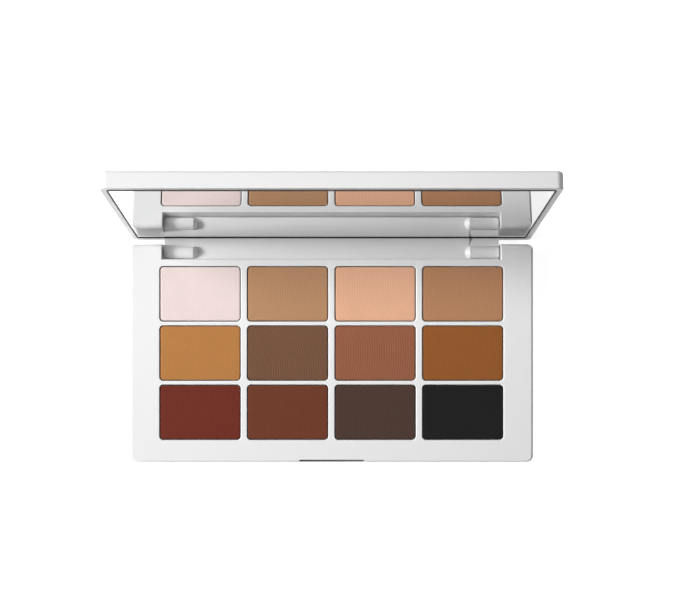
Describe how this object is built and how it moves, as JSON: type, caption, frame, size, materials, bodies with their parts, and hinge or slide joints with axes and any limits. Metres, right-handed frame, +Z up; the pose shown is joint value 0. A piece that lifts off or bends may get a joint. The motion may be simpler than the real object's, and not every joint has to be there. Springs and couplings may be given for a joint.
{
  "type": "eyeshadow palette",
  "caption": "Flat makeup palette: a white base holds pans of pressed powder, and a lid with a large mirror opens on a two-pin rear hinge.",
  "frame": {"origin": "middle of the base's flat underside, which rests on the table", "axes": "+X to the user's right along the hinge, +Y from the front edge to the hinge, +Z up"},
  "size_m": [0.1294, 0.088, 0.0703],
  "materials": {
    "white_gloss": "polished injection-moulded white plastic",
    "carrier_plastic": "plain moulded",
    "pan_metal": "drawn thin sheet, satin",
    "adhesive_pad": "soft foam pad",
    "adhesive_tape": "double-sided tape",
    "magnet": "nickel plated",
    "pin_steel": "ground steel wire",
    "mirror": "silvered glass",
    "powder_pink": "pressed powder, matte",
    "powder_tan": "pressed powder, matte",
    "powder_peach": "pressed powder, matte",
    "powder_fawn": "pressed powder, matte",
    "powder_ochre": "pressed powder, matte",
    "powder_taupe_brown": "pressed powder, matte",
    "powder_terracotta": "pressed powder, matte",
    "powder_caramel": "pressed powder, matte",
    "powder_brick": "pressed powder, matte",
    "powder_chestnut": "pressed powder, matte",
    "powder_dark_taupe": "pressed powder, matte",
    "powder_black": "pressed powder, matte"
  },
  "bodies": {
    "base": {"base_tray": "white_gloss", "pan_deck": "white_gloss", "pan_01": "pan_metal", "pan_02": "pan_metal", "pan_03": "pan_metal", "pan_04": "pan_metal", "pan_05": "pan_metal", "pan_06": "pan_metal", "pan_07": "pan_metal", "pan_08": "pan_metal", "pan_09": "pan_metal", "pan_10": "pan_metal", "pan_11": "pan_metal", "pan_12": "pan_metal", "powder_01": "powder_pink", "powder_02": "powder_tan", "powder_03": "powder_peach", "powder_04": "powder_fawn", "powder_05": "powder_ochre", "powder_06": "powder_taupe_brown", "powder_07": "powder_terracotta", "powder_08": "powder_caramel", "powder_09": "powder_brick", "powder_10": "powder_chestnut", "powder_11": "powder_dark_taupe", "powder_12": "powder_black", "pan_adhesive": "adhesive_pad", "base_magnets": "magnet", "hinge_pin_left": "pin_steel", "hinge_pin_right": "pin_steel"},
    "lid": {"lid_cover": "white_gloss", "mirror_carrier": "carrier_plastic", "mirror_tape": "adhesive_tape", "mirror_glass": "mirror", "lid_magnets": "magnet"}
  },
  "joints": [
    {"name": "lid_hinge", "type": "hinge", "parent": "base", "child": "lid", "pos_m": [0, 0.03235, 0.00462], "axis": [-1, 0, 0], "range_deg": [-99.4, 0]}
  ]
}
